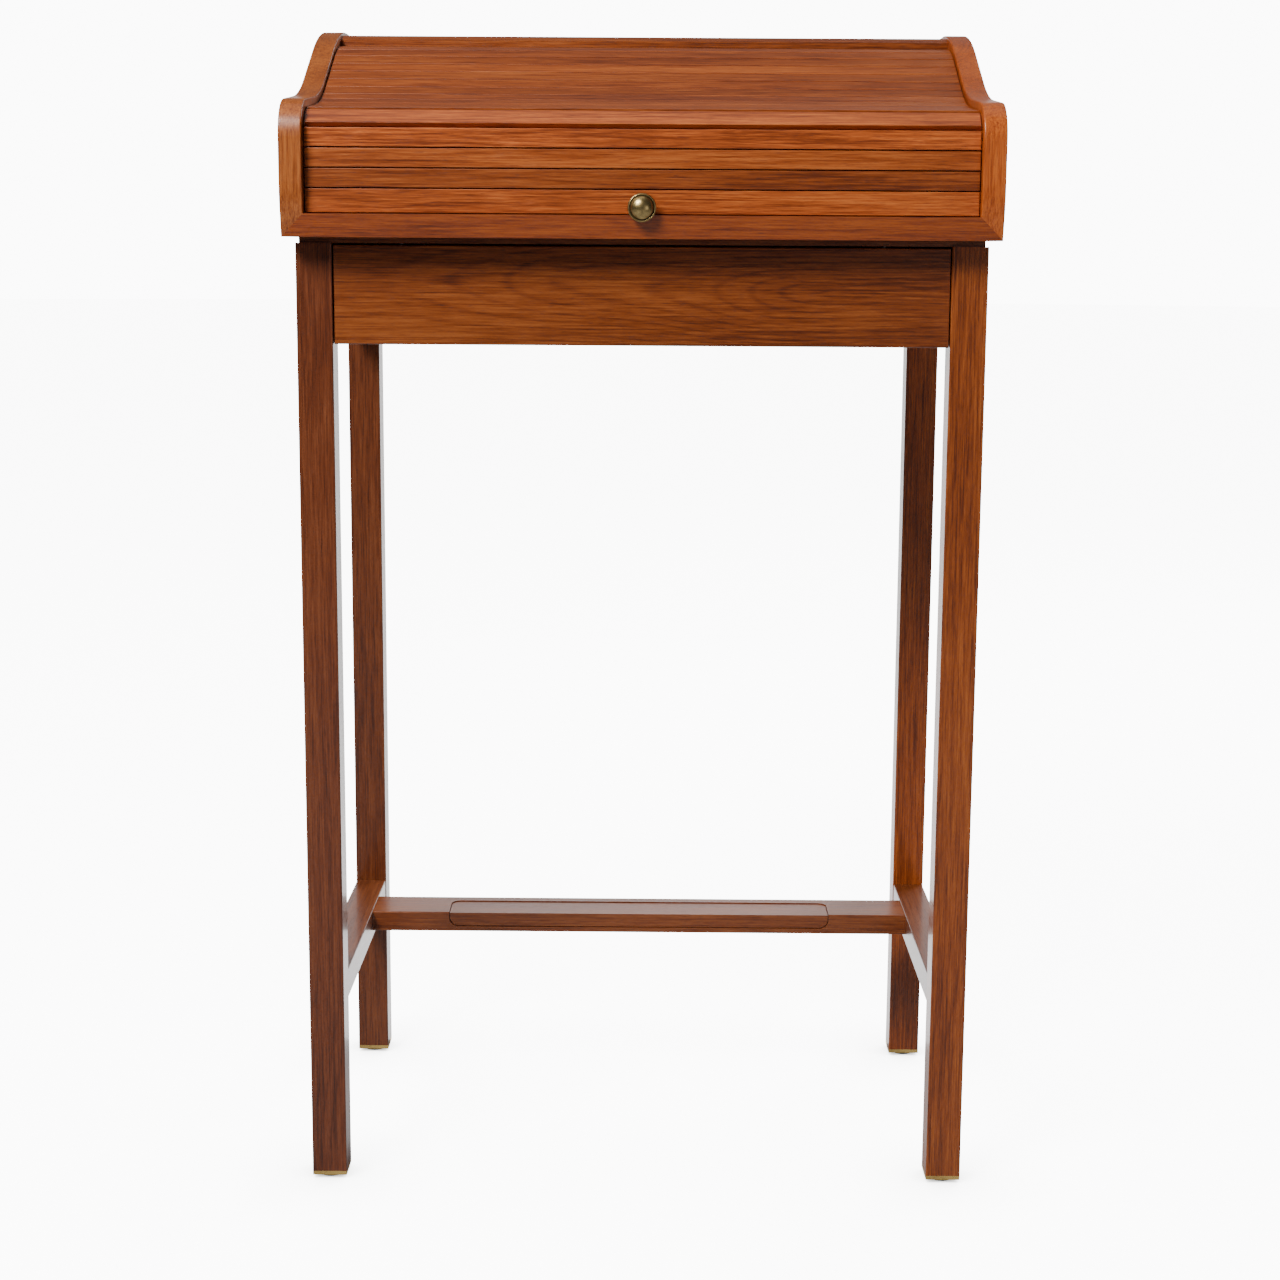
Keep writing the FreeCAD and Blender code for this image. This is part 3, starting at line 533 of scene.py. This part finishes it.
# %% Reflections
# Size, place, whether the card stands upright, how far it is stretched sideways, and its glow.
CARDS = {
    "pale_wall": (2, (0, 3.2, 1.0), True, 3, 1.1),
    "grey_wall": (4, (0, 3.2, 4.0), True, 1.5, 0.1),
    "pale_floor": (2.96, (0, 1.72, 0.0), False, 0.34, 3.0),
    "near_floor": (0.39, (0, 0.045, 0.0), False, 1.6, 0.8),
    "pale_card": (1, (0, 3.19, 0.5), True, 1, 3.0),
    "pale_ceiling": (2.4, (0, 0.2, 4.5), False, 1, 0.7),
}
for name, (size, place, upright, stretch, glow) in CARDS.items():
    turn = math.radians(90) if upright else 0
    bpy.ops.mesh.primitive_plane_add(size=size, location=place, rotation=(turn, 0, 0))
    bpy.ops.transform.resize(value=(stretch, 1, 1))
    backdrop(name, paint=0.0, glow=glow, mirror=True)
print(len(CARDS), "cards to be mirrored")

# %% [markdown]
# ## Light
# One soft lamp hangs in front, high on the left. It is near enough for the right end of the desk
# to be darker than the left, and it leaves the deep shadow of the case on the top of the drawer. A
# weak lamp on the right lights the legs, and another lights the back. The rest of the room is dim,
# so the lacquer keeps its colour.

# %% Lamps
ROOM_LIGHT = 0.065
world = bpy.data.worlds.new("studio")
bpy.context.scene.world = world
world.use_nodes = True
background = world.node_tree.nodes["Background"]
background.inputs["Color"].default_value = (1, 1, 1, 1)
background.inputs["Strength"].default_value = ROOM_LIGHT


def softbox(name, place, target, size, power):
    """A square lamp that faces a point of the desk."""
    lamp = bpy.data.objects.new(name, bpy.data.lights.new(name, "AREA"))
    lamp.data.shape = "RECTANGLE"
    lamp.data.size, lamp.data.size_y, lamp.data.energy = size, size, power
    lamp.location = place
    lamp.rotation_euler = (Vector(target) - Vector(place)).to_track_quat("-Z", "Y").to_euler()
    bpy.context.scene.collection.objects.link(lamp)


softbox("key", place=(-1.9, -2.4, 3.6), target=(0, -0.1, 0.95), size=1.4, power=270)
softbox("fill", place=(1.7, -2.6, 1.0), target=(0, 0, 0.8), size=1.2, power=6)
softbox("back", place=(2.7, 3.4, 3.4), target=(0, 0.1, 0.7), size=2.0, power=190)
print("light set")

# %% [markdown]
# ## Camera
# The camera stands in front of the desk, at about the height of its bed, and looks down a little.
# From there the slope of the roll top is seen along its length, and the feet are seen from above.
# A small shift of the lens centres the desk.

# %% Camera
SENSOR_WIDTH = 36
FRAME_PIXELS, FOCAL_PIXELS = 1280, 2164
camera = bpy.data.objects.new("camera", bpy.data.cameras.new("camera"))
bpy.context.scene.collection.objects.link(camera)
camera.location = (0.0114, -2.476, 1.0333)
camera.rotation_euler = [math.radians(angle) for angle in (80.656, -0.356, 0.335)]
camera.data.sensor_width = SENSOR_WIDTH
camera.data.lens = SENSOR_WIDTH * FOCAL_PIXELS / FRAME_PIXELS
camera.data.shift_y = -0.03
bpy.context.scene.camera = camera
print("camera", round(camera.data.lens, 1), "mm")
